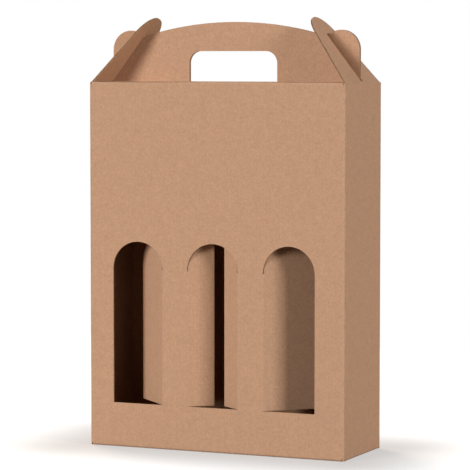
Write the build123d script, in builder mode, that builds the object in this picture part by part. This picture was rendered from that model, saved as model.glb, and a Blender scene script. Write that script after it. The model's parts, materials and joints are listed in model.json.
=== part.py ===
from build123d import *
import os
from math import atan2, cos, degrees, hypot, radians, sin, sqrt

# Carry box for three bottles, folded from one sheet of kraft corrugated board.
# Millimetres, +X to the right, +Y to the rear, +Z up, origin at the middle of the bottom.

# Board
BOARD = 1.5  # thickness
BEND = 0.75  # inside radius of a fold
CUT = 0.4  # width of a die-cut line
CREASE_GAP = 0.25  # room around the rolled edge of a hinged flap

# Body
WIDTH = 255.0
DEPTH = 90.0
HEIGHT = 338.5  # floor to the top folds
CORNER_RELIEF = 3.5  # from a side's outer face to the ends of the roof and outer bottom flaps
SIDE_RELIEF = 4.5  # from the front or rear face to the ends of the inner bottom flaps

# Glue seam at the rear left corner
TAB_WIDTH = 28.0
TAB_TAPER = 10.0  # how much shorter the tab's free edge is at each end
SEAM_STEP = 0.5  # the rear wall's raw edge stops this far short of the fold beside it

# Bottom
HOOK = 12.5  # how far each outer flap's tongue reaches past the middle
HOOK_TAPER = 6.0
SIDE_FLAP = 62.0  # length of the glued inner flaps
SIDE_FLAP_TAPER = 9.0

# Handle
HANDLE_WIDTH = 248.0
HANDLE_TOP = 55.1  # top of the arch above the top folds
HANDLE_GAP = 0.2  # between the two panels
ARCH_RADIUS = 330.0
NOTCH_SPREAD = 185.5  # between the notches that hold the lock flaps
EAR_UNDERCUT = 4.75  # how far an ear's round end reaches in past its notch
EAR_RADIUS = 17.9  # rounding of an ear's two top corners
EAR_FLAT = 0.2  # the least straight stretch between them
HOLE_WIDTH = 88.4
HOLE_HEIGHT = 28.3
HOLE_RADIUS = 11.0
HOLE_SHIFT = -1.0  # the hole sits this far off the middle of the handle

# Lock flaps
LOCK_BASE = 85.0
LOCK_LENGTH = 76.5
LOCK_TIP_RADIUS = 25.2
LOCK_SLOT = 7.0  # width of the slot that takes an ear of the handle
LOCK_SLOT_START = 1.5  # width of the board left between the fold and the slot
LOCK_CLEARANCE = 1.2  # between the slot's end and the ear that passes through it

# Windows
WINDOW_WIDTH = 50.6
WINDOW_HEIGHT = 150.4
WINDOW_SILL = 41.2  # floor to the bottom of the windows
WINDOW_PITCH = 75.6
WINDOW_SHIFT = -2.3  # the row sits this far off the middle of the front
FULL_FLAP_ANGLE = 43.5  # a full-width flap, turned in from flush
HALF_FLAP_ANGLE = 38.0  # the two flaps of the middle window

# Places that follow from the sizes above
fold = BEND + BOARD / 2
right_x = (WIDTH - BOARD) / 2
rear_y = (DEPTH - BOARD) / 2
tab_y = rear_y - BOARD
seam_x = SEAM_STEP + fold - right_x
tab_x = seam_x - SEAM_STEP / 2
panel_half = WIDTH / 2 - CORNER_RELIEF
side_half = DEPTH / 2 - SIDE_RELIEF
roof_z = HEIGHT - BOARD / 2
handle_y = (HANDLE_GAP + BOARD) / 2
handle_root = roof_z + fold
outer_floor_z = BOARD / 2
inner_floor_z = outer_floor_z + BOARD
wall_foot = inner_floor_z + fold + BOARD
side_top = roof_z - fold
wall_top = side_top - BOARD

handle_half = HANDLE_WIDTH / 2
arch_z = HEIGHT + HANDLE_TOP - ARCH_RADIUS
notch_x = NOTCH_SPREAD / 2
notch_z = arch_z + sqrt(ARCH_RADIUS**2 - notch_x**2)
ear_width = handle_half - notch_x + EAR_UNDERCUT
ear_round = min(EAR_RADIUS, (ear_width - EAR_FLAT) / 2)
ear_x = handle_half - ear_width / 2
ear_z = notch_z - sqrt(EAR_UNDERCUT * (2 * ear_round - EAR_UNDERCUT))
ear_round_x = (handle_half - ear_width + ear_round, handle_half - ear_round)

hinge_room = BOARD / 2 + CREASE_GAP
lock_x = right_x
lock_z = side_top + hinge_room
lock_lean = atan2(lock_x - notch_x, notch_z - lock_z)
ear_reach = max(hypot(lock_x - x, ear_z - lock_z) for x in ear_round_x) + ear_round
lock_slot_end = ear_reach + LOCK_CLEARANCE

window_x = [WINDOW_SHIFT + step * WINDOW_PITCH for step in (-1, 0, 1)]
window_half = WINDOW_WIDTH / 2
spring_z = WINDOW_SILL + WINDOW_HEIGHT - window_half
full_flap = WINDOW_WIDTH - CUT
half_flap = (WINDOW_WIDTH - CUT) / 2
hinge_length = spring_z - WINDOW_SILL - 2 * CUT

# Each window flap: name, hinge edge, direction of its free edge from there, length, angle turned in
window_flaps = [
    ("left_window_flap", window_x[0] + window_half, -1, full_flap, FULL_FLAP_ANGLE),
    ("middle_left_window_flap", window_x[1] - window_half, 1, half_flap, HALF_FLAP_ANGLE),
    ("middle_right_window_flap", window_x[1] + window_half, -1, half_flap, HALF_FLAP_ANGLE),
    ("right_window_flap", window_x[2] - window_half, 1, full_flap, FULL_FLAP_ANGLE),
]

on_foot = (Align.CENTER, Align.MIN)
from_corner = (Align.MIN, Align.MIN)

os.makedirs("parts", exist_ok=True)

# Carton: walls, bottom, roof and handle, folded from the one sheet
with BuildPart() as carton:
    # What is folded from the front wall: roof and root of the handle above, outer bottom flap below
    with BuildSketch(Plane.YZ):
        with BuildLine():
            FilletPolyline(
                (-handle_y, handle_root + BOARD),
                (-handle_y, roof_z),
                (-rear_y, roof_z),
                (-rear_y, wall_top),
                radius=fold,
            )
            FilletPolyline(
                (-rear_y, wall_foot),
                (-rear_y, outer_floor_z),
                (-HOOK, outer_floor_z),
                radius=fold,
            )
        trace(line_width=BOARD)
    extrude(amount=panel_half, both=True)

    # Outline of the handle: an arch between two round ears, with a notch where they meet
    with BuildSketch(Plane.XZ.offset(HANDLE_GAP / 2)):
        with Locations((0, handle_root)):
            Rectangle(2 * ear_x, ARCH_RADIUS, align=on_foot)
        with Locations((0, arch_z)):
            Circle(ARCH_RADIUS, mode=Mode.INTERSECT)
        with Locations((0, handle_root)):
            Rectangle(HANDLE_WIDTH, ear_z - handle_root, align=on_foot)
        with Locations((-ear_x, ear_z), (ear_x, ear_z)):
            SlotOverall(ear_width, 2 * ear_round)
    extrude(amount=BOARD)

    # The rear wall has the same
    mirror(about=Plane.XZ)

    # Side walls and the inner bottom flaps that the outer ones are glued to
    with BuildSketch(Plane.XZ):
        with BuildLine():
            FilletPolyline(
                (right_x, side_top),
                (right_x, inner_floor_z),
                (right_x - SIDE_FLAP, inner_floor_z),
                radius=fold,
            )
        trace(line_width=BOARD)
        mirror(about=Plane.YZ)
    extrude(amount=side_half, both=True)

    # Slanted ends of the inner bottom flaps
    flap_tip = right_x - SIDE_FLAP
    with BuildSketch(Plane.XY.offset(BOARD)):
        with BuildLine():
            Polyline(
                (flap_tip, side_half - SIDE_FLAP_TAPER),
                (right_x - fold, side_half),
                (flap_tip, side_half),
                close=True,
            )
        make_face()
        mirror(about=Plane.XZ)
        mirror(about=Plane.YZ)
    extrude(amount=BOARD, mode=Mode.SUBTRACT)

    # Interlocking tongues of the outer bottom flaps
    with BuildSketch():
        with PolarLocations(0, 2):
            Polygon(
                (-panel_half, -HOOK - BOARD),
                (-CUT / 2, -HOOK - BOARD),
                (-CUT / 2, HOOK - CUT),
                (HOOK_TAPER - panel_half, HOOK - CUT),
                (-panel_half, -HOOK),
                align=None,
            )
    extrude(amount=BOARD)

    # All four walls as a band that ends at the seam, where the left wall turns in behind the rear one
    with BuildSketch(Plane.XY.offset(wall_foot)):
        with BuildLine():
            FilletPolyline(
                (seam_x, rear_y),
                (right_x, rear_y),
                (right_x, -rear_y),
                (-right_x, -rear_y),
                (-right_x, tab_y),
                (tab_x, tab_y),
                radius=fold,
            )
        trace(line_width=BOARD)
    extrude(amount=wall_top - wall_foot)

    # Glue tab against the inside of the rear wall
    with BuildSketch(Plane.XZ.offset(BOARD - DEPTH / 2)):
        with BuildLine():
            Polyline(
                (tab_x, wall_foot),
                (tab_x + TAB_WIDTH, wall_foot + TAB_TAPER),
                (tab_x + TAB_WIDTH, wall_top - TAB_TAPER),
                (tab_x, wall_top),
                close=True,
            )
        make_face()
    extrude(amount=BOARD)

    # Arched windows, with room for the rolled edges of their flaps
    with BuildSketch(Plane.XZ.offset(DEPTH / 2)):
        with Locations(*[(x, WINDOW_SILL) for x in window_x]):
            Rectangle(WINDOW_WIDTH, spring_z - WINDOW_SILL, align=on_foot)
        with Locations(*[(x, spring_z) for x in window_x]):
            Circle(window_half)
        with Locations(*[(hinge, WINDOW_SILL) for _, hinge, *_ in window_flaps]):
            Rectangle(2 * hinge_room, spring_z - WINDOW_SILL, align=on_foot)
    extrude(amount=-BOARD, mode=Mode.SUBTRACT)

    # Hand hole through both handle panels, down to the roof
    with BuildSketch(Plane.XZ):
        with Locations((HOLE_SHIFT, HEIGHT)):
            hole = Rectangle(HOLE_WIDTH, HOLE_HEIGHT, align=on_foot)
        fillet(hole.vertices().group_by(Axis.Y)[-1], HOLE_RADIUS)
    extrude(amount=handle_y + 2 * fold, both=True, mode=Mode.SUBTRACT)

carton.part.label = "carton"
export_step(carton.part, "parts/carton.step")

# Lock flaps: each leans in over the roof, and the handle's ear stands through its slot
for side, sign in (("left", -1), ("right", 1)):
    name = f"{side}_lock_flap"
    leaning = Plane(
        origin=(sign * lock_x, 0, lock_z),
        x_dir=(0, sign, 0),
        z_dir=(sign * cos(lock_lean), 0, sin(lock_lean)),
    )
    with BuildPart() as lock_flap:
        with BuildSketch(leaning):
            with BuildLine():
                Line((-LOCK_BASE / 2, 0), (LOCK_BASE / 2, 0))
                CenterArc((0, LOCK_LENGTH - LOCK_TIP_RADIUS), LOCK_TIP_RADIUS, 0, 180)
            make_hull()
            with Locations((0, LOCK_SLOT_START)):
                Rectangle(
                    LOCK_SLOT,
                    lock_slot_end - LOCK_SLOT_START,
                    align=on_foot,
                    mode=Mode.SUBTRACT,
                )
        extrude(amount=BOARD / 2, both=True)

        # Rolled edge on the fold
        with BuildSketch(Plane.XZ):
            with Locations((sign * lock_x, lock_z)):
                Circle(BOARD / 2)
        extrude(amount=LOCK_BASE / 2, both=True)
    lock_flap.part.label = name
    export_step(lock_flap.part, f"parts/{name}.step")

# Window flaps: each is what was cut from its window, or half of it, still joined along one upright edge
for name, hinge, sign, length, angle in window_flaps:
    turn = radians(angle)
    turned_in = Plane(
        origin=(hinge, -rear_y, 0),
        x_dir=(sign * cos(turn), sin(turn), 0),
        z_dir=(sin(turn), -sign * cos(turn), 0),
    )
    with BuildPart() as window_flap:
        with BuildSketch(turned_in):
            with Locations((window_half, spring_z)):
                Circle(window_half - CUT)
            with Locations((hinge_room, WINDOW_SILL + CUT)):
                Rectangle(length - hinge_room, WINDOW_HEIGHT, align=from_corner, mode=Mode.INTERSECT)
                Rectangle(length - hinge_room, hinge_length + CUT, align=from_corner)
            with Locations((0, WINDOW_SILL + CUT)):
                Rectangle(hinge_room, hinge_length, align=from_corner)
        extrude(amount=BOARD / 2, both=True)

        # Rolled edge on the fold
        with BuildSketch(Plane.XY.offset(WINDOW_SILL + CUT)):
            with Locations((hinge, -rear_y)):
                Circle(BOARD / 2)
        extrude(amount=hinge_length)
    window_flap.part.label = name
    export_step(window_flap.part, f"parts/{name}.step")

print(f"lock flaps lean in {degrees(lock_lean):.2f} degrees and turn about x {lock_x:.2f}, z {lock_z:.2f}")
print(f"slot ends {lock_slot_end:.2f} from the fold, ears centred at x {ear_x:.2f}, z {ear_z:.2f}")
print("window hinges at x", [round(hinge, 2) for _, hinge, *_ in window_flaps], "y", round(-rear_y, 2))
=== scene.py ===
import json
import math

import bpy
import numpy as np
from bpy.props import FloatProperty, FloatVectorProperty, PointerProperty
from bpy.types import NodeSocket, Operator, Panel, PropertyGroup
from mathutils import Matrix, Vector


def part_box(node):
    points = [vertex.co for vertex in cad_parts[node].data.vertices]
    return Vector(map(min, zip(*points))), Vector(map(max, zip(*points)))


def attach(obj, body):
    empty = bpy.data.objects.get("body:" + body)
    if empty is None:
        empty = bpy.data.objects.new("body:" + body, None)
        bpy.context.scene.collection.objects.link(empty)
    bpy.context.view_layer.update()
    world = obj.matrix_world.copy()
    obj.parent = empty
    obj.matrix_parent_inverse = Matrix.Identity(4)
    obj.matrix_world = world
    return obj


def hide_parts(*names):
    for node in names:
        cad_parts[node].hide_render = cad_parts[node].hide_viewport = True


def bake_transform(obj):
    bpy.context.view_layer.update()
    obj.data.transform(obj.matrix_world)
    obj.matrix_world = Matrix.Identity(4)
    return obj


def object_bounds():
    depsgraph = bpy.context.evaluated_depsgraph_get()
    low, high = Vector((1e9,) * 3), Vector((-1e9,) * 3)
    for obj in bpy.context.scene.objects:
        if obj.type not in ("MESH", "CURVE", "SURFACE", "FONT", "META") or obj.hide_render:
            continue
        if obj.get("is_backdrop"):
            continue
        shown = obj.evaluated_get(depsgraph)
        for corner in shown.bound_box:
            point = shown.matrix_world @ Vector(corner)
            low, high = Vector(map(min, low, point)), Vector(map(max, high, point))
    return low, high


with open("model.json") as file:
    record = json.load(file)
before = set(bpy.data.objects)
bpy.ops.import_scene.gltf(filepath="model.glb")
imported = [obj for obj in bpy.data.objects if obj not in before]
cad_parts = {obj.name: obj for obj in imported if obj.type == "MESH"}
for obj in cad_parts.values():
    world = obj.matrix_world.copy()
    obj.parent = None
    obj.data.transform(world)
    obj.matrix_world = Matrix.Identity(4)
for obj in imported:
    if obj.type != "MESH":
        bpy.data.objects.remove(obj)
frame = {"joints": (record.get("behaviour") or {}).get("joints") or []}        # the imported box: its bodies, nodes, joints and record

bl_info = {
    "name": "Bottle carrier box",
    "version": (1, 0, 0),
    "blender": (4, 5, 0),
    "location": "View3D > Sidebar > Carrier box",
    "description": "Folds a corrugated carrier box for three bottles around its frame, and lights it",
    "category": "Object",
}

CAD_BOX = [list(corner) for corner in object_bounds()]
MM = 0.001
QUARTER = math.pi / 2
JOINTS = {joint["child"]: joint for joint in frame["joints"]}
WINDOW_FLAPS = [name for name in JOINTS if name.endswith("window_flap")]
LOCK_FLAPS = [name for name in JOINTS if name.endswith("lock_flap")]
BEND_ROWS = 6  # rows of faces round a quarter bend
ARC_STEPS = 24  # columns across a round cut-out
FLUTE_STEPS = 6  # columns across one wave of the fluting
MERGE = 1e-7  # points of the blank closer than this are one point
SLIVER = 0.01  # share that is kept where a slanted edge meets its fold, so that no cell is empty
CUT_DRAW = 3  # liners by which an edge across the flutes is drawn in further than one along them
LONG_RUNS = (4, 8, 9)  # runs of the plan path that are the front and the rear
SIDE_RUNS = (2, 6)  # and those that are the sides
GLOW = (0.98, 1.0, 1.02, 1.0)  # the floor's, a little blue against its warm paint
SENSOR = 36  # width of the camera's sensor in millimetres


def linear(code):
    """An sRGB hex colour as linear red, green, blue and alpha."""
    channels = np.array([int(code[i:i + 2], 16) for i in (1, 3, 5)]) / 255
    low = channels / 12.92
    high = ((channels + 0.055) / 1.055) ** 2.4
    return (*np.where(channels <= 0.04045, low, high), 1.0)


def length(name, mm, description):
    """A size property, given in millimetres and kept in metres."""
    return FloatProperty(name=name, description=description, default=mm * MM, precision=5, unit="LENGTH")


def number(name, value, description):
    """A property that is a plain number."""
    return FloatProperty(name=name, description=description, default=value)


def colour(name, code, description):
    """A colour property, given as an sRGB hex code."""
    return FloatVectorProperty(
        name=name, description=description, default=linear(code), size=4, min=0, max=1, subtype="COLOR"
    )


def angle(name, degrees, description):
    """An angle property, given in degrees."""
    return FloatProperty(
        name=name, description=description, default=math.radians(degrees), subtype="ANGLE", unit="ROTATION"
    )


class BoardSizes(PropertyGroup):
    """The corrugated board that the whole box is cut from."""

    thickness: length("Thickness", 1.5, "Board from face to face")
    liner: length("Liner", 0.2, "Thickness of each flat paper and of the fluting between them")
    flute: length("Flute pitch", 3.2, "From crest to crest of the fluting")
    bend: length("Bend", 1.5, "Radius of a fold at the middle of the board")
    crease: length("Crease", 1.0, "How far a hinge crease reaches to each side of its line")
    cut: length("Cut", 0.2, "Width of a die-cut line")


class BodySizes(PropertyGroup):
    """The folded body: four walls, glue tab and bottom flaps."""

    width: length("Width", (CAD_BOX[1][0] - CAD_BOX[0][0]) / MM, "Across the front, face to face")
    depth: length("Depth", (CAD_BOX[1][1] - CAD_BOX[0][1]) / MM, "From front to rear, face to face")
    height: length("Height", 338.5, "Floor to the top folds")
    corner_relief: length("Corner relief", 3.5, "From a side's face to the ends of roof and bottom flaps")
    side_relief: length("Side relief", 4.5, "From the front's face to the ends of the inner bottom flaps")
    tab: length("Tab", 28.0, "Width of the glue tab at the rear left corner")
    tab_taper: length("Tab taper", 10.0, "How much shorter the tab's free edge is at each end")
    seam_step: length("Seam step", 0.5, "From the rear wall's raw edge to the fold beside it")
    hook: length("Hook", 12.5, "How far a bottom flap's tongue reaches past the middle")
    hook_taper: length("Hook taper", 6.0, "Slant of the tongue's end")
    side_flap: length("Side flap", 62.0, "Length of the inner bottom flaps")
    side_flap_taper: length("Side flap taper", 9.0, "Slant of the inner bottom flaps' ends")


class HandleSizes(PropertyGroup):
    """The two back-to-back handle panels with their ears and hand hole."""

    width: length("Width", 248.0, "Across both ears")
    top: length("Top", 55.1, "Top of the arch above the top folds")
    gap: length("Gap", 0.2, "Between the two panels")
    arch: length("Arch radius", 330.0, "Radius of the arch")
    notches: length("Notches", 185.5, "Between the notches that hold the lock flaps")
    ear_undercut: length("Ear undercut", 4.75, "How far an ear's round end reaches in past its notch")
    ear_radius: length("Ear radius", 17.9, "Rounding of an ear's top corners")
    hole_width: length("Hole width", 88.4, "Width of the hand hole")
    hole_height: length("Hole height", 28.3, "Height of the hand hole above the top folds")
    hole_radius: length("Hole radius", 11.0, "Rounding of the hole's top corners")
    hole_shift: length("Hole shift", -1.0, "From the middle of the handle to the middle of the hole")


class LockSizes(PropertyGroup):
    """The two side flaps that lock the handle."""

    base: length("Base", 85.0, "Width at the fold")
    reach: length("Reach", 76.5, "From the fold to the tip")
    tip: length("Tip radius", 25.2, "Radius of the round tip")
    slot: length("Slot", 4.6, "Width of the slot that takes an ear of the handle")
    slot_start: length("Slot start", 2.6, "From the fold to the slot")
    clearance: length("Clearance", 1.2, "Between the slot's end and the ear")


class WindowSizes(PropertyGroup):
    """The three arched windows."""

    width: length("Width", 50.6, "Width of a window")
    height: length("Height", 150.4, "Sill to the top of the arch")
    sill: length("Sill", 41.2, "Floor to the bottom of the windows")
    pitch: length("Pitch", 75.6, "From window to window")
    shift: length("Shift", -2.3, "From the middle of the front to the middle window")


class PaperSettings(PropertyGroup):
    """Papers of the board: their colours, and the pattern that all of them have."""

    outside: colour("Outside", "#be9577", "Paper on the outside of the box")
    inside: colour("Inside", "#b58c6c", "Paper on the inside of the box")
    fluting: colour("Fluting", "#9a7656", "Wavy paper between the two")
    cloud: length("Cloud", 9.0, "Size of the pulp's cloudy mottling")
    fibre_length: length("Fibre length", 3.0, "Length of a fibre")
    fibre_width: length("Fibre width", 0.35, "Width of a fibre, coarser than a real one so that it shows")
    fleck: length("Fleck", 2.0, "Size of a fleck of dark or pale pulp")
    cloud_share: number("Cloud share", 0.12, "How far clouds change the lightness")
    fibre_share: number("Fibre share", 0.28, "How far fibres change the lightness")
    fleck_share: number("Fleck share", 0.42, "How far flecks change the lightness")
    wash_share: number("Washboard share", 0.01, "How far the fluting behind changes the lightness")
    wash_height: number("Washboard height", 0.25, "Height of the washboard against that of the fibres")
    relief: length("Relief", 0.05, "Height of the fibres")
    relief_share: number("Relief share", 0.35, "How far the relief turns the light")
    roughness: number("Roughness", 0.9, "Roughness of the matt paper")
    gloss: number("Gloss", 0.25, "Strength of the paper's faint gloss")


class StageSettings(PropertyGroup):
    """Floor, light and camera."""

    floor: colour("Floor", "#8b7c6c", "Paint of the studio floor, which is lifted to white for the camera")
    floor_size: length("Floor size", 1600.0, "Side of the square floor")
    floor_drop: length("Floor drop", 0.2, "From the foot of the box down to the floor")
    # Beside the box the floor is lifted less than away from it: this paints a grey shade round the box's
    # foot, and keeps its real shadow from clipping to white.
    painted_shade_glow_near: number("Near glow", 0.52, "How far the floor is lifted to white beside the box")
    glow_far: number("Far glow", 0.96, "How far the floor is lifted to white away from the box")
    glow_reach: length("Glow reach", 120.0, "From the box to where the far glow starts")
    light_distance: length("Light distance", 4500.0, "From the middle of the box to each soft box")
    left_turn: angle("Left light turn", -25.0, "Where the left soft box stands, round from the front")
    left_lift: angle("Left light lift", 10.0, "Height of the left soft box")
    left_size: length("Left light size", 1400.0, "Side of the left soft box")
    left_level: number("Left light", 0.82, "Light on a face square to it")
    right_turn: angle("Right light turn", 73.0, "Where the right soft box stands, round from the front")
    right_lift: angle("Right light lift", 18.0, "Height of the right soft box")
    right_size: length("Right light size", 1400.0, "Side of the right soft box")
    right_level: number("Right light", 0.69, "Light on a face square to it")
    rear_turn: angle("Rear light turn", -128.0, "Where the rear soft box stands, round from the front")
    rear_lift: angle("Rear light lift", 45.0, "Height of the rear soft box")
    rear_size: length("Rear light size", 1800.0, "Side of the rear soft box")
    rear_level: number("Rear light", 0.85, "Light on a face square to it")
    ambient: number("Room light", 0.02, "Even light from the room")
    lens: number("Lens", 194.97, "Focal length in millimetres")
    camera_x: length("Camera x", 960.56, "Where the camera stands along x")
    camera_y: length("Camera y", -2144.24, "Where the camera stands along y")
    camera_z: length("Camera z", 361.94, "Height of the camera")
    camera_tilt: angle("Camera tilt", 85.987, "From looking straight down")
    camera_turn: angle("Camera turn", 24.125, "Round from looking square at the front")


class FoldedPath:
    """A path of straight runs and bends, read by the distance along it.

    Each run is (length, turn). Along a run the heading grows evenly with the distance d, so the point lies
    from the run's start by the chord d * sin(a) / a in the mean direction, where a is half the turn so far.
    """

    def __init__(self, first, start, heading, runs):
        lengths, turns = np.array(runs).T
        self.bend = turns / lengths
        self.begin = first + np.concatenate(([0.0], np.cumsum(lengths)))
        self.heading = heading + np.concatenate(([0.0], np.cumsum(turns)))[:-1]
        steps = self.chord(lengths, self.bend, self.heading)
        self.start = np.array(start) + np.concatenate((np.zeros((1, 2)), np.cumsum(steps, axis=0)))[:-1]

    @staticmethod
    def chord(distance, bend, heading):
        """The step from a run's start: distance * sinc of half the turn, along the mean heading."""
        half_turn = bend * distance / 2
        span = distance * np.sinc(half_turn / np.pi)
        return np.stack((span * np.cos(heading + half_turn), span * np.sin(heading + half_turn)), axis=-1)

    def at(self, distance, offset):
        """Points at a distance along the path, moved right by the offset, and the way to the right."""
        last = len(self.bend) - 1
        run = np.clip(np.searchsorted(self.begin, distance, side="right") - 1, 0, last)
        along = distance - self.begin[run]
        heading = self.heading[run] + self.bend[run] * along
        right = np.stack((np.sin(heading), -np.cos(heading)), axis=-1)
        point = self.start[run] + self.chord(along, self.bend[run], self.heading[run])
        return point + offset[..., None] * right, right


class Blank:
    """The die-cut sheet: u runs round the walls from the glue tab, v along the flutes, w through the board.

    On the walls v is the height. Folding carries (u, v, w) to the box: the plan path gives the wall's place
    and outward direction at u, and the section path gives how far out and how high the board is at (v, w).
    """

    def __init__(self, scene):
        board, body, handle = scene.board_sizes, scene.body_sizes, scene.handle_sizes
        lock, window = scene.lock_sizes, scene.window_sizes
        bend, half_board = board.bend, board.thickness / 2
        self.board, self.half_board, self.crease = board, half_board, board.crease
        self.right_x = body.width / 2 - half_board
        self.rear_y = body.depth / 2 - half_board
        self.panel_half = body.width / 2 - body.corner_relief
        self.side_half = body.depth / 2 - body.side_relief
        roof_z = body.height - half_board
        self.handle_y = handle.gap / 2 + half_board
        arc = bend * QUARTER

        # Plan: tab, left wall, front, right wall, rear up to its raw edge, with a quarter bend between them
        seam_x = body.seam_step + bend - self.right_x
        tab_run = body.tab - body.seam_step / 2 + seam_x - bend + self.right_x
        tab_y = self.rear_y - board.thickness
        wide = 2 * (self.right_x - bend)
        deep = 2 * (self.rear_y - bend)
        left_run = deep - board.thickness
        rear_run = self.right_x - bend - seam_x
        bend_run = (arc, QUARTER)
        runs = [(tab_run, 0), bend_run, (left_run, 0), bend_run, (wide, 0), bend_run, (deep, 0), bend_run]
        self.plan = FoldedPath(0.0, (bend - self.right_x + tab_run, tab_y), math.pi, runs + [(rear_run, 0)])
        _, self.tab_end, _, left_end, front, _, right, _, rear, self.rear_end = self.plan.begin
        self.left = left_end - deep / 2
        self.front = front + wide / 2
        self.right = right + deep / 2
        self.rear = rear + wide / 2

        # Sections: bottom flap, wall and, on the front and rear, roof and handle, again with quarter bends
        floor_z = half_board
        wall_start = floor_z + bend
        self.roof_start = roof_z - bend + arc
        self.roof_end = self.roof_start + self.rear_y - self.handle_y - 2 * bend
        self.handle_start = self.roof_end + arc
        self.handle_root = roof_z + bend
        floor_run = 2 * self.rear_y
        self.floor_end = wall_start - arc
        self.long_section = FoldedPath(
            self.floor_end - floor_run,
            (-bend - floor_run, floor_z),
            0.0,
            [(floor_run, 0), bend_run, (roof_z - bend - wall_start, 0), bend_run,
             (self.roof_end - self.roof_start, 0), (arc, -QUARTER), (handle.top, 0)],
        )
        side_floor_z = floor_z + board.thickness
        turn = math.acos(1 - board.thickness / (2 * bend))
        lift = 2 * bend * math.sin(turn)
        self.side_flap_run = body.side_flap - bend - lift
        self.side_floor_end = self.floor_end - 2 * bend * turn
        self.side_top = roof_z - bend
        self.side_section = FoldedPath(
            self.side_floor_end - self.side_flap_run,
            (-body.side_flap, side_floor_z),
            0.0,
            [(self.side_flap_run, 0), (bend * turn, -turn), (bend * turn, turn), bend_run,
             (self.side_top - wall_start, 0)],
        )
        self.wall_start = wall_start
        self.floor_half = self.panel_half - lift
        self.wall_foot = side_floor_z + bend + board.thickness
        self.wall_top = self.side_top - board.thickness
        self.corner_foot = board.liner
        self.corner_top = body.height - board.liner

        # Windows and their flaps
        self.window = window
        self.window_half = window.width / 2
        self.window_x = window.shift + window.pitch * np.array([-1, 0, 1])
        self.spring = window.sill + window.height - self.window_half

        # Handle outline, notch and lock flaps
        self.handle = handle
        self.handle_half = handle.width / 2
        self.arch_z = body.height + handle.top - handle.arch
        self.notch_x = handle.notches / 2
        notch_z = self.arch_z + math.sqrt(handle.arch**2 - self.notch_x**2)
        self.ear_z = notch_z - math.sqrt(handle.ear_undercut * (2 * handle.ear_radius - handle.ear_undercut))
        self.ear_in = self.notch_x - handle.ear_undercut + handle.ear_radius
        self.ear_out = self.handle_half - handle.ear_radius
        self.hole_low = self.roof_end + bend * math.acos(1 - half_board / bend)
        self.hole_side = body.height + handle.hole_height - handle.hole_radius
        lock_z = self.side_top + board.crease
        self.lean = math.atan2(self.right_x - self.notch_x, notch_z - lock_z)
        ear_far = math.hypot(self.right_x - self.ear_in, self.ear_z - lock_z) + handle.ear_radius
        self.slot_end = ear_far + lock.clearance
        self.body, self.lock = body, lock

    def fold(self, u, v, w):
        """Carries points of the flat blank to the folded box: wall place + out * outward way + height."""
        place, outward = self.plan.at(u, np.zeros_like(u))
        run = np.searchsorted(self.plan.begin, u + MERGE / 2, side="right") - 1
        corner = run % 2 == 1
        at_start = np.abs(u - self.plan.begin[np.clip(run, 0, len(self.plan.begin) - 1)]) < MERGE
        panel = np.where(corner & at_start, run - 1, run)
        section = np.stack((w, v), axis=-1)
        for runs, path in ((LONG_RUNS, self.long_section), (SIDE_RUNS, self.side_section)):
            section = np.where(np.isin(panel, runs)[..., None], path.at(v, w)[0], section)
        ground = place + section[..., :1] * outward
        return np.concatenate((ground, section[..., 1:]), axis=-1)

    def window_top(self, u):
        """Top edge of the windows at u: spring line + sqrt(radius^2 - distance from the middle^2)."""
        apart = np.abs(u[..., None] - self.front - self.window_x).min(axis=-1)
        return self.spring + np.sqrt(np.maximum(self.window_half**2 - apart**2, 0))

    def handle_v(self, z):
        """The blank's v at height z on the handle."""
        return self.handle_start + z - self.handle_root

    def handle_top(self, x):
        """The handle's outline: the arch between the notches, and beyond them the ears' rounded tops."""
        arch = self.arch_z + np.sqrt(self.handle.arch**2 - x**2)
        away = np.maximum(np.maximum(self.ear_in - np.abs(x), np.abs(x) - self.ear_out), 0)
        ear = self.ear_z + np.sqrt(np.maximum(self.handle.ear_radius**2 - away**2, 0))
        return self.handle_v(np.where(np.abs(x) < self.notch_x, arch, ear))

    def hole_top(self, x):
        """The hand hole's upper edge: straight, with two rounded corners.

        Beside the hole it is the height at which the hole starts to round.
        """
        radius = self.handle.hole_radius
        away = np.abs(x - self.handle.hole_shift) - self.handle.hole_width / 2 + radius
        rise = np.sqrt(np.maximum(radius**2 - np.maximum(away, 0) ** 2, 0))
        return self.handle_v(self.hole_side + np.where(away > radius, 0, rise))

    def window_gaps(self):
        """Each window's two edges in u, a hinged edge set back by the crease."""
        edges = self.window_x[:, None] + self.window_half * np.array([-1, 1])
        hinges = np.array([JOINTS[name]["pos_m"][0] for name in WINDOW_FLAPS])
        hinged = (np.abs(edges[..., None] - hinges) < self.crease).any(axis=-1)
        return self.front + edges + hinged * self.crease * np.array([-1, 1])

    def hole_gap(self, centre, sign):
        """The hand hole's two edges in u on the panel whose middle is at centre."""
        edges = self.handle.hole_shift + self.handle.hole_width / 2 * np.array([-1, 1])
        return np.sort(centre + sign * edges)

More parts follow.
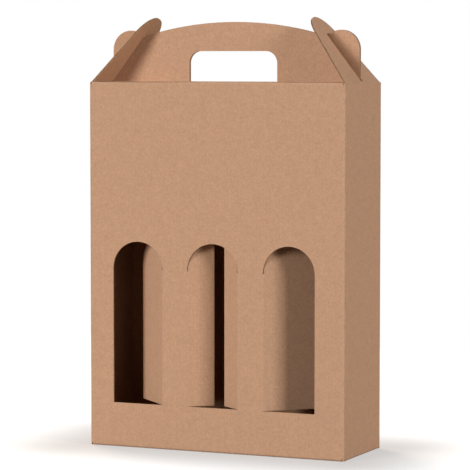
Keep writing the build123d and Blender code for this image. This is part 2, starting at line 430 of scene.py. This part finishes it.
    def columns(self, step=None):
        """All u at which the blank is cut into columns: round edges, bends, corners and any even steps."""
        around = np.sin(np.linspace(-QUARTER, QUARTER, ARC_STEPS + 1))
        bends = self.plan.begin[1:-1].reshape(-1, 2)
        folds = (bends[:, :1] + (bends[:, 1:] - bends[:, :1]) * np.linspace(0, 1, BEND_ROWS + 1)).ravel()
        even = np.arange(0, self.rear_end, step) if step else np.empty(0)
        on_bend = ((even[:, None] > bends[:, 0]) & (even[:, None] < bends[:, 1])).any(axis=-1)
        windows = self.front + self.window_x[:, None] + self.window_half * around
        marks = [even[~on_bend], folds, [0.0, self.rear_end], windows.ravel(), self.window_gaps().ravel()]
        radius = self.handle.ear_radius
        ears = np.concatenate((self.ear_in + radius * around, self.ear_out + radius * around))
        ears = ears[(ears > self.notch_x) & (ears < self.handle_half)]
        corner = self.handle.hole_width / 2 - self.handle.hole_radius * (1 - around[around >= 0])
        outline = np.concatenate((ears, [self.notch_x, self.panel_half, self.floor_half]))
        outline = np.concatenate((outline, -outline))
        hole = self.handle.hole_shift + np.concatenate((corner, -corner))
        tongue = np.array([-1, 1]) * self.board.cut / 2
        for centre, sign in self.long_panels():
            marks += [centre + sign * outline, centre + sign * hole, centre + tongue]
            marks.append([centre - self.floor_half + self.body.hook_taper])
        ends = np.array([self.side_half, self.side_half - self.body.side_flap_taper])
        for centre in (self.left, self.right):
            marks += [centre + ends, centre - ends]
        found = np.unique(np.round(np.concatenate(marks) / MERGE)) * MERGE
        return found[(found >= 0) & (found <= self.rear_end + MERGE)]

    def long_panels(self):
        """Middle of the front and of the rear in u, and the way in which x grows there."""
        return ((self.front, 1), (self.rear, -1))

    def cells(self):
        """The blank's outline as cells (start, end, low, high, rows): columns from low(u) to high(u)."""
        yield 0.0, self.rear_end, lambda u: self.wall_foot + self.tab_slant(u), self.window.sill, 1
        yield 0.0, self.rear_end, self.window_top, lambda u: self.wall_top - self.tab_slant(u), 1
        for start, end in outside(0.0, self.rear_end, self.window_gaps()):
            yield start, end, self.window.sill, self.spring, 1
        for centre, sign in self.long_panels():
            start, end = centre - self.panel_half, centre + self.panel_half
            ends = self.right_x - self.board.bend
            left, right = centre - ends, min(centre + ends, self.rear_end)
            yield (centre - self.floor_half, centre + self.floor_half,
                   lambda u, c=centre: self.tongue_low(u - c), self.floor_end, 1)
            yield left, right, self.floor_end, self.wall_start, BEND_ROWS
            yield left, right, self.wall_start, self.wall_foot, 1
            yield left, right, self.wall_top, self.side_top, 1
            yield left, right, self.side_top, self.roof_start, BEND_ROWS
            yield start, end, self.roof_start, self.roof_end, 1
            yield start, end, self.roof_end, self.hole_low, BEND_ROWS
            for left, right in outside(start, end, [self.hole_gap(centre, sign)]):
                yield left, right, self.hole_low, self.handle_start, BEND_ROWS
                yield left, right, self.handle_start, self.handle_v(self.hole_side), 1
            yield (start, end, lambda u, c=centre, s=sign: self.hole_top(s * (u - c)),
                   lambda u, c=centre, s=sign: self.handle_top(s * (u - c)), 1)
        for start, end in self.plan.begin[1:-1].reshape(-1, 2):
            step = (end - start) / BEND_ROWS
            yield start, end, self.wall_top, self.side_top, 1
            yield start + step, end - step, self.side_top, self.corner_top, 1
            yield start, end, self.wall_start, self.wall_foot, 1
            yield start + step, end - step, self.corner_foot, self.wall_start, 1
        for run in SIDE_RUNS:
            start, end = self.plan.begin[run:run + 2]
            yield start, end, self.wall_top, self.side_top, 1
            yield start, end, self.wall_start, self.wall_foot, 1
            yield start, end, self.floor_end, self.wall_start, BEND_ROWS
        for centre in (self.left, self.right):
            start, end = centre - self.side_half, centre + self.side_half
            yield start, end, self.side_floor_end, self.floor_end, 2 * BEND_ROWS
            yield start, end, lambda u, c=centre: self.side_flap_low(u - c), self.side_floor_end, 1

    def tab_slant(self, u):
        """How far the glue tab's ends are cut back: the taper at its free edge, nothing from its fold."""
        return self.body.tab_taper * np.maximum(1 - u / self.tab_end, 0)

    def tongue_low(self, x):
        """Free edge of an outer bottom flap: one half reaches past the middle, with a slanted end."""
        body, fold_y = self.body, self.rear_y - self.board.bend
        short = self.floor_end - fold_y + body.hook
        slant = np.clip((x + self.floor_half) / body.hook_taper, 0, 1)
        tongue = short - slant * (2 * body.hook - self.board.cut)
        return np.where(x < 0, tongue, short)

    def side_flap_low(self, y):
        """Free edge of an inner bottom flap: straight, with two slanted ends that reach back to the fold."""
        slant = np.clip((self.side_half - np.abs(y)) / self.body.side_flap_taper, SLIVER, 1)
        return self.side_floor_end - self.side_flap_run * slant


def outside(start, end, gaps):
    """The stretches from start to end that no gap covers."""
    stops = [start, *np.sort(np.ravel(gaps)), end]
    return [(a, b) for a, b in zip(stops[::2], stops[1::2])]


def lay_cells(cells, columns):
    """The flat sheet: for each cell a grid of points (u, low + (high - low) * t), cut into triangles.

    Points that cells share are merged, and triangles that shrink to a line are left out.
    """
    flat, quads, count = [], [], 0
    for start, end, low, high, rows in cells:
        u = columns[(columns > start - MERGE) & (columns < end + MERGE)]
        low_v, high_v = [side(u) if callable(side) else np.full_like(u, side) for side in (low, high)]
        v = low_v + (high_v - low_v) * np.linspace(0, 1, rows + 1)[:, None]
        flat.append(np.stack(np.broadcast_arrays(u, v), axis=-1).reshape(-1, 2))
        index = count + np.arange(v.size).reshape(v.shape)
        grid = np.stack((index[:-1, :-1], index[:-1, 1:], index[1:, 1:], index[1:, :-1]), axis=-1)
        quads.append(grid.reshape(-1, 4))
        count += v.size
    flat = np.concatenate(flat)
    _, kept, merged = np.unique(np.round(flat / MERGE), axis=0, return_index=True, return_inverse=True)
    quads = merged.ravel()[np.concatenate(quads)]
    triangles = np.concatenate((quads[:, [0, 1, 2]], quads[:, [0, 2, 3]]))
    whole = (triangles != np.roll(triangles, 1, axis=1)).all(axis=1)
    return flat[kept], triangles[whole]


def cut_edges(flat, triangles, board):
    """The board's crushed edge along every cut: each free edge, drawn in and carried from liner to liner.

    An edge that runs along the flutes is drawn in little, and one across them further, so that open flutes
    show.
    """
    edges = np.stack((triangles, np.roll(triangles, -1, axis=1)), axis=-1).reshape(-1, 2)
    _, index, count = np.unique(np.sort(edges, axis=1), axis=0, return_index=True, return_counts=True)
    start, end = flat[edges[index[count == 1]]].transpose(1, 0, 2)
    along = (end - start) / np.linalg.norm(end - start, axis=1, keepdims=True)
    inward = np.stack((-along[:, 1], along[:, 0]), axis=-1)
    shift = inward * (board.liner * (1 + CUT_DRAW * np.abs(along[:, :1])))
    face = board.thickness / 2 - board.liner
    corners = [(start, -face), (end, -face), (end, face), (start, face)]
    sheet = np.stack([np.insert(point + shift, 2, w, axis=1) for point, w in corners], axis=1).reshape(-1, 3)
    quads = np.arange(len(sheet)).reshape(-1, 4)
    return sheet, np.concatenate((quads[:, [0, 1, 2]], quads[:, [0, 2, 3]]))


def board_layers(flat_sheet, wavy_sheet, board):
    """The papers of a board: points (u, v, w), triangles and material number, by name.

    The liners lie at half the thickness, the inside one facing inward. The fluting is a sine between them,
    whose crests touch them once its paper is as thick as a liner.
    """
    flat, triangles = flat_sheet
    wavy, wavy_triangles = wavy_sheet
    face = board.thickness / 2
    half_paper = board.liner / 2
    crest = face - board.liner - half_paper
    wave = crest * np.sin(2 * np.pi * wavy[:, 0] / board.flute) + half_paper
    return {
        "outer_liner": (np.insert(flat, 2, face, axis=1), triangles, 0),
        "inner_liner": (np.insert(flat, 2, -face, axis=1), triangles[:, ::-1], 1),
        "fluting": (np.insert(wavy, 2, wave, axis=1), wavy_triangles, 2),
        "cut_edges": (*cut_edges(flat, triangles, board), 2),
    }


def new_piece(name, points, faces, sheet, paper):
    """Makes a mesh object from arrays. Materials read its place on the blank from an attribute."""
    mesh = bpy.data.meshes.new(name)
    mesh.from_pydata(points, [], faces)
    attribute = mesh.attributes.new("sheet", "FLOAT_VECTOR", "POINT")
    attribute.data.foreach_set("vector", sheet.astype(np.float32).ravel())
    for material in kraft_papers():
        mesh.materials.append(material)
    mesh.polygons.foreach_set("material_index", np.broadcast_to(paper, len(faces)).astype(np.int32))
    mesh.update()
    piece = bpy.data.objects.new(name, mesh)
    bpy.context.scene.collection.objects.link(piece)
    return piece


def thicken(piece, thickness):
    """Gives a sheet of paper its thickness, on the side away from its normals."""
    solid = piece.modifiers.new("paper", "SOLIDIFY")
    solid.thickness = thickness
    solid.offset = -1
    return piece


def board_piece(name, layers, place, board, mirrored=False):
    """One mesh of the given papers, each put in place and made as thick as the liner."""
    sheets, faces, numbers = zip(*layers)
    first = np.cumsum([0, *map(len, sheets[:-1])])
    sheet = np.concatenate(sheets)
    triangles = np.concatenate([face + start for face, start in zip(faces, first)])
    paper = np.repeat(numbers, [len(face) for face in faces])
    if mirrored:
        triangles = triangles[:, ::-1]
    return thicken(new_piece(name, place(*sheet.T), triangles, sheet, paper), board.liner)


class Hinge:
    """A flap's place: hinge line, wall behind it, outward direction, and the angle that it is turned in."""

    def __init__(self, origin, axis, back, out, turn):
        self.origin, self.axis, self.back, self.out = (np.array(a, float) for a in (origin, axis, back, out))
        self.turn = turn
        self.away = -self.back * math.cos(turn) - self.out * math.sin(turn)
        self.normal = self.facing(turn)

    def facing(self, turn):
        """Outward direction after turning in: out * cos(turn) - back * sin(turn)."""
        return np.multiply.outer(np.cos(turn), self.out) - np.multiply.outer(np.sin(turn), self.back)

    def at(self, along, away, w):
        """The point along the hinge line, away from it on the flap, and w out from the board's middle."""
        parts = zip((along, away, w), (self.axis, self.away, self.normal))
        return self.origin + sum(np.multiply.outer(amount, direction) for amount, direction in parts)


def window_hinge(name):
    """Hinge of a window flap, from its joint: the flap grows along the joint axis's sign in x."""
    joint = JOINTS[name]
    x, y, _ = joint["pos_m"]
    sign = joint["axis"][2]
    turn = math.radians(-joint["range_deg"][0])
    return Hinge((x, y, 0), (0, 0, 1), (-sign, 0, 0), (0, -1, 0), turn)


def lock_hinge(name, blank):
    """Hinge of a lock flap, from its joint: the wall is below it."""
    joint = JOINTS[name]
    sign = joint["axis"][1]
    return Hinge(joint["pos_m"], (0, 1, 0), (0, 0, -1), (sign, 0, 0), blank.lean)


def crease_strip(name, flap, hinge, low, high, board):
    """The two liners across a hinge, each a closed strip carried along the hinge line.

    Outside: straight on the wall, an arc of half the board's thickness about the hinge line, and straight on
    the flap. Inside: two straight stretches that meet in the valley, half a board from the line on both.
    """
    face, crease = board.thickness / 2, board.crease
    turns = np.linspace(0, hinge.turn, BEND_ROWS + 1)
    middle = hinge.turn / 2

    def outer(radius):
        wall = crease * hinge.back + radius * hinge.out
        flap = crease * hinge.away + radius * hinge.normal
        return np.vstack((wall, radius * hinge.facing(turns), flap))

    def inner(radius):
        wall = crease * hinge.back - radius * hinge.out
        flap = crease * hinge.away - radius * hinge.normal
        return np.vstack((wall, -radius / math.cos(middle) * hinge.facing(middle), flap))

    points, faces, paper, count = [], [], [], 0
    for index, profile in enumerate((outer, inner)):
        loop = np.concatenate((profile(face), profile(face - board.liner)[::-1]))
        ring = hinge.origin + loop + np.multiply.outer(np.array([low, high]), hinge.axis)[:, None]
        n = len(loop)
        step = np.arange(n)
        after = (step + 1) % n
        sides = np.stack((step, after, after + n, step + n), axis=-1)
        pair = np.arange(n // 2 - 1)
        cap = np.stack((pair, n - 1 - pair, n - 2 - pair, pair + 1), axis=-1)
        points.append(ring.reshape(-1, 3))
        faces += [sides + count, cap + count, cap[:, ::-1] + n + count]
        paper.append(np.full(n + 2 * len(cap), index))
        count += 2 * n
    points, faces = np.concatenate(points), np.concatenate(faces)
    offsets = points - hinge.origin
    sheet = np.stack((-offsets @ hinge.back, offsets @ hinge.axis, offsets @ hinge.out), axis=-1)
    if np.dot(np.cross(hinge.axis, hinge.back), hinge.out) < 0:
        faces = faces[:, ::-1]
    piece = new_piece(name, points, faces, sheet, np.concatenate(paper))
    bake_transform(piece)


def add(tree, kind, inputs=None, **settings):
    """Adds a node with its settings. Each input is a socket to link or a constant to set."""
    node = tree.nodes.new(kind)
    for key, value in settings.items():
        setattr(node, key, value)
    for key, value in (inputs or {}).items():
        if isinstance(value, NodeSocket):
            tree.links.new(value, node.inputs[key])
        else:
            node.inputs[key].default_value = value
    return node


def new_material(name):
    """A material without nodes, and its node tree."""
    material = bpy.data.materials.new(name)
    material.use_nodes = True
    material.node_tree.nodes.clear()
    return material, material.node_tree


def kraft_paper(name, paper, look, flute):
    """Kraft paper as it comes from the machine: unbleached pulp, matt, with fibres across the flutes.

    To the eye that is a warm brown with cloudy mottling, lighter and darker fibres and flecks, and a faint
    washboard where the fluting is glued behind.
    """
    material, tree = new_material(name)
    sheet = add(tree, "ShaderNodeAttribute", attribute_name="sheet").outputs["Vector"]
    cloud = add(tree, "ShaderNodeTexNoise", {"Vector": sheet, "Scale": 1 / look.cloud, "Detail": 2.0})
    fibre_size = (1 / look.fibre_length, 1 / look.fibre_width, 1.0)
    along = add(tree, "ShaderNodeMapping", {"Vector": sheet, "Scale": fibre_size})
    fibre = add(tree, "ShaderNodeTexNoise", {"Vector": along.outputs[0], "Scale": 1.0, "Detail": 2.0})
    fleck = add(tree, "ShaderNodeTexNoise", {"Vector": sheet, "Scale": 1 / look.fleck, "Detail": 3.0})
    u = add(tree, "ShaderNodeSeparateXYZ", {"Vector": sheet}).outputs["X"]
    phase = add(tree, "ShaderNodeMath", {0: u, 1: 2 * math.pi / flute}, operation="MULTIPLY")
    wash = add(tree, "ShaderNodeMath", {0: phase.outputs[0]}, operation="SINE").outputs[0]
    # Lightness: the parts' departures from their means, each with its share
    parts = (
        (cloud.outputs["Fac"], 0.5, look.cloud_share),
        (fibre.outputs["Fac"], 0.5, look.fibre_share),
        (fleck.outputs["Fac"], 0.5, look.fleck_share),
        (wash, 0.0, look.wash_share),
    )
    light = 1.0
    for value, mean, share in parts:
        centred = add(tree, "ShaderNodeMath", {0: value, 1: mean}, operation="SUBTRACT").outputs[0]
        sum_of = {0: centred, 1: share, 2: light}
        light = add(tree, "ShaderNodeMath", sum_of, operation="MULTIPLY_ADD").outputs[0]
    base = add(tree, "ShaderNodeVectorMath", {0: tuple(paper)[:3], "Scale": light}, operation="SCALE")
    # Relief: fibres, and the washboard under them
    sum_of = {0: wash, 1: look.wash_height, 2: fibre.outputs["Fac"]}
    height = add(tree, "ShaderNodeMath", sum_of, operation="MULTIPLY_ADD").outputs[0]
    relief = {"Height": height, "Strength": look.relief_share, "Distance": look.relief}
    matt = {
        "Base Color": base.outputs[0],
        "Roughness": look.roughness,
        "Specular IOR Level": look.gloss,
        "Normal": add(tree, "ShaderNodeBump", relief).outputs[0],
    }
    shader = add(tree, "ShaderNodeBsdfPrincipled", matt)
    add(tree, "ShaderNodeOutputMaterial", {"Surface": shader.outputs[0]})
    return material


def kraft_papers():
    """The three papers, made once: outside liner, inside liner, fluting."""
    scene = bpy.context.scene
    look, flute = scene.paper_settings, scene.board_sizes.flute
    wanted = {
        "kraft_liner_outside": look.outside,
        "kraft_liner_inside": look.inside,
        "kraft_fluting": look.fluting,
    }
    ready = bpy.data.materials
    return [ready.get(name) or kraft_paper(name, paper, look, flute) for name, paper in wanted.items()]


class BOX_OT_carton(Operator):
    """Folds the carton: walls, tab, bottom, roof and handle, as two liners and the fluting between them"""

    bl_idname = "carrier_box.carton"
    bl_label = "Carton"

    def execute(self, context):
        blank = Blank(context.scene)
        cells, step = list(blank.cells()), blank.board.flute / FLUTE_STEPS
        flat, wavy = (lay_cells(cells, columns) for columns in (blank.columns(), blank.columns(step)))
        layers = board_layers(flat, wavy, blank.board)
        for paper, layer in layers.items():
            piece = board_piece(f"carton_{paper}", [layer], blank.fold, blank.board)
            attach(piece, "carton")
            if paper == "outer_liner":
                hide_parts("carton")
        return {"FINISHED"}


class BOX_OT_window_flaps(Operator):
    """Cuts the four window flaps from the same board and joins each to its window by a crease"""

    bl_idname = "carrier_box.window_flaps"
    bl_label = "Window flaps"

    def execute(self, context):
        blank = Blank(context.scene)
        board, window = blank.board, blank.window
        sill = window.sill + board.cut
        radius = blank.window_half - board.cut
        around = blank.window_half + radius * np.sin(np.linspace(-QUARTER, QUARTER, ARC_STEPS + 1))

        def top(u):
            return blank.spring + np.sqrt(np.maximum(radius**2 - (u - blank.window_half) ** 2, 0))

        for name in WINDOW_FLAPS:
            hinge = window_hinge(name)
            box_low, box_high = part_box(name)
            across = box_high.x - box_low.x - blank.half_board * (1 + math.sin(hinge.turn))
            reach = across / math.cos(hinge.turn)
            even = np.arange(board.crease, reach, board.flute / FLUTE_STEPS)
            columns = np.unique(np.round(np.concatenate((even, around, [reach])) / MERGE)) * MERGE
            columns = columns[columns <= reach + MERGE]
            # Beside the hinge only the outside liner goes on into the arch, so that the flap can turn square
            straight = (board.crease, reach, sill, blank.spring, 1)
            face, core = (
                lay_cells([straight, (start, reach, blank.spring, top, 1)], columns)
                for start in (board.cut, board.crease)
            )
            layers = board_layers(core, core, board)
            layers["outer_liner"] = board_layers(face, core, board)["outer_liner"]
            mirrored = hinge.back[0] > 0
            piece = board_piece(
                f"{name}_board", layers.values(), lambda u, v, w, h=hinge: h.at(v, u, w), board, mirrored
            )
            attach(piece, name)
            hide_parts(name)
            crease_strip(f"{name}_crease", name, hinge, sill, blank.spring - board.cut, board)
        return {"FINISHED"}


class BOX_OT_lock_flaps(Operator):
    """Cuts the two lock flaps with their slots and joins each to its side wall by a crease"""

    bl_idname = "carrier_box.lock_flaps"
    bl_label = "Lock flaps"

    def execute(self, context):
        blank = Blank(context.scene)
        board, lock = blank.board, blank.lock
        half, centre = lock.base / 2, lock.reach - lock.tip
        far = math.hypot(half, centre)
        slope = math.atan2(centre, -half) - math.asin(lock.tip / far)
        touch = half + math.sqrt(far**2 - lock.tip**2) * math.cos(slope)

        def top(y):
            tip = centre + np.sqrt(np.maximum(lock.tip**2 - y**2, 0))
            side = (np.abs(y) - half) * math.tan(slope)
            return np.maximum(np.where(np.abs(y) < touch, tip, side), (1 + SLIVER) * board.crease)

        def below_slot(y):
            return np.minimum(top(y), lock.slot_start)

        def below_tip(y):
            return np.minimum(top(y), blank.slot_end)

        slot = lock.slot / 2
        tip_y = lock.tip * np.sin(np.linspace(-QUARTER, QUARTER, 2 * ARC_STEPS + 1))
        even = np.arange(-half, half, board.flute / FLUTE_STEPS)
        corners = [-half, -touch, -slot, slot, touch, half]
        marks = np.concatenate((even, tip_y[np.abs(tip_y) < touch], corners))
        columns = np.unique(np.round(marks / MERGE)) * MERGE
        cells = [
            (-half, half, board.crease, below_slot, 1),
            (-half, -slot, below_slot, below_tip, 1),
            (slot, half, below_slot, below_tip, 1),
            (-touch, touch, below_tip, top, 1),
        ]
        sheet = lay_cells(cells, columns)
        layers = board_layers(sheet, sheet, board).values()
        for name in LOCK_FLAPS:
            hinge = lock_hinge(name, blank)
            mirrored = hinge.out[0] < 0
            piece = board_piece(f"{name}_board", layers, hinge.at, board, mirrored)
            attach(piece, name)
            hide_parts(name)
            crease_strip(f"{name}_crease", name, hinge, -half, half, board)
        return {"FINISHED"}


def soft_box(name, turn, lift, size, level, distance, target):
    """A square soft box aimed at the target, so strong that a face square to it gets the level given.

    A lamp of power P gives P / (pi * distance^2) on its axis. A paint shows as it is at pi: level 1.
    """
    lamp = bpy.data.lights.new(name, "AREA")
    lamp.shape = "SQUARE"
    lamp.size = size
    lamp.energy = level * (math.pi * distance) ** 2
    light = bpy.data.objects.new(name, lamp)
    ground = math.cos(lift)
    direction = Vector((math.sin(turn) * ground, -math.cos(turn) * ground, math.sin(lift)))
    light.location = target + distance * direction
    light.rotation_euler = direction.to_track_quat("Z", "Y").to_euler()
    bpy.context.scene.collection.objects.link(light)


def seen_rays(tree):
    """1 for what the camera sees, straight or by a mirror or glass, and 0 for light that bounces."""
    rays = add(tree, "ShaderNodeLightPath")
    seen = rays.outputs["Is Camera Ray"]
    for other in ("Is Glossy Ray", "Is Transmission Ray"):
        seen = add(tree, "ShaderNodeMath", {0: seen, 1: rays.outputs[other]}, operation="MAXIMUM").outputs[0]
    return seen


def studio_floor(stage, foot):
    """Matt painted floor. To the camera it is lifted to white, less so beside the box, which paints a grey
    shade round the box's foot; the real shadows stay.
    """
    material, tree = new_material("matt_floor_paint")
    place = add(tree, "ShaderNodeTexCoord").outputs["Object"]
    size = add(tree, "ShaderNodeVectorMath", {0: place}, operation="ABSOLUTE").outputs[0]
    past = add(tree, "ShaderNodeVectorMath", {0: size, 1: foot}, operation="SUBTRACT").outputs[0]
    past = add(tree, "ShaderNodeVectorMath", {0: past, 1: (0, 0, 0)}, operation="MAXIMUM").outputs[0]
    apart = add(tree, "ShaderNodeVectorMath", {0: past}, operation="LENGTH").outputs["Value"]
    # The lift grows from the near level to the far level with the distance from the box: the lower lift
    # beside it is painted shade, a grey halo round the foot.
    painted_halo_range = {"From Max": stage.glow_reach, "To Min": stage.painted_shade_glow_near, "To Max": stage.glow_far}
    share = {"Value": apart, **painted_halo_range}
    shown = add(tree, "ShaderNodeMapRange", share, interpolation_type="SMOOTHSTEP")
    lift = add(tree, "ShaderNodeMath", {0: seen_rays(tree), 1: shown.outputs[0]}, operation="MULTIPLY")
    matt = add(tree, "ShaderNodeBsdfDiffuse", {"Color": tuple(stage.floor)})
    glow = add(tree, "ShaderNodeEmission", {"Color": GLOW, "Strength": lift.outputs[0]})
    both = add(tree, "ShaderNodeAddShader", {0: matt.outputs[0], 1: glow.outputs[0]})
    add(tree, "ShaderNodeOutputMaterial", {"Surface": both.outputs[0]})
    return material


def studio_room(level):
    """White background for the camera, and even room light for everything else."""
    world = bpy.data.worlds.new("studio_room")
    world.use_nodes = True
    tree = world.node_tree
    tree.nodes.clear()
    strength = add(tree, "ShaderNodeMapRange", {"Value": seen_rays(tree), "To Min": level, "To Max": 1.0})
    background = add(tree, "ShaderNodeBackground", {"Color": (1, 1, 1, 1), "Strength": strength.outputs[0]})
    add(tree, "ShaderNodeOutputWorld", {"Surface": background.outputs[0]})
    return world


class BOX_OT_stage(Operator):
    """Floor, three soft boxes, room light and the camera"""

    bl_idname = "carrier_box.stage"
    bl_label = "Stage"

    def execute(self, context):
        scene = context.scene
        stage = scene.stage_settings
        low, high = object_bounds()
        target = (low + high) / 2
        half, ground = stage.floor_size / 2, -stage.floor_drop
        sides = ((-half, -half), (half, -half), (half, half), (-half, half))
        mesh = bpy.data.meshes.new("floor")
        mesh.from_pydata([(x, y, ground) for x, y in sides], [], [(0, 1, 2, 3)])
        mesh.materials.append(studio_floor(stage, tuple(high)))
        floor = bpy.data.objects.new("floor", mesh)
        scene.collection.objects.link(floor)
        floor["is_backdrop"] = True
        boxes = {
            "left_soft_box": (stage.left_turn, stage.left_lift, stage.left_size, stage.left_level),
            "right_soft_box": (stage.right_turn, stage.right_lift, stage.right_size, stage.right_level),
            "rear_soft_box": (stage.rear_turn, stage.rear_lift, stage.rear_size, stage.rear_level),
        }
        for name, settings in boxes.items():
            soft_box(name, *settings, stage.light_distance, target)
        scene.world = studio_room(stage.ambient)
        lens = bpy.data.cameras.new("camera")
        lens.lens = stage.lens
        lens.sensor_width = SENSOR
        camera = bpy.data.objects.new("camera", lens)
        camera.location = (stage.camera_x, stage.camera_y, stage.camera_z)
        camera.rotation_euler = (stage.camera_tilt, 0, stage.camera_turn)
        scene.collection.objects.link(camera)
        scene.camera = camera
        scene.view_settings.view_transform = "Standard"
        return {"FINISHED"}


class BOX_PT_panel(Panel):
    """Lists the pieces in the order in which they are made"""

    bl_idname = "BOX_PT_panel"
    bl_label = "Bottle carrier box"
    bl_space_type = "VIEW_3D"
    bl_region_type = "UI"
    bl_category = "Carrier box"

    def draw(self, context):
        for operator in OPERATORS:
            self.layout.operator(operator.bl_idname)


GROUPS = {
    "board_sizes": BoardSizes,
    "body_sizes": BodySizes,
    "handle_sizes": HandleSizes,
    "lock_sizes": LockSizes,
    "window_sizes": WindowSizes,
    "paper_settings": PaperSettings,
    "stage_settings": StageSettings,
}
OPERATORS = (BOX_OT_carton, BOX_OT_window_flaps, BOX_OT_lock_flaps, BOX_OT_stage)
CLASSES = (*GROUPS.values(), *OPERATORS, BOX_PT_panel)


def register():
    for cls in CLASSES:
        bpy.utils.register_class(cls)
    for name, group in GROUPS.items():
        setattr(bpy.types.Scene, name, PointerProperty(type=group))


def unregister():
    for name in GROUPS:
        delattr(bpy.types.Scene, name)
    for cls in reversed(CLASSES):
        bpy.utils.unregister_class(cls)


def main():
    register()
    bpy.ops.carrier_box.carton()
    bpy.ops.carrier_box.window_flaps()
    bpy.ops.carrier_box.lock_flaps()
    bpy.ops.carrier_box.stage()


if __name__ == "__main__":
    main()
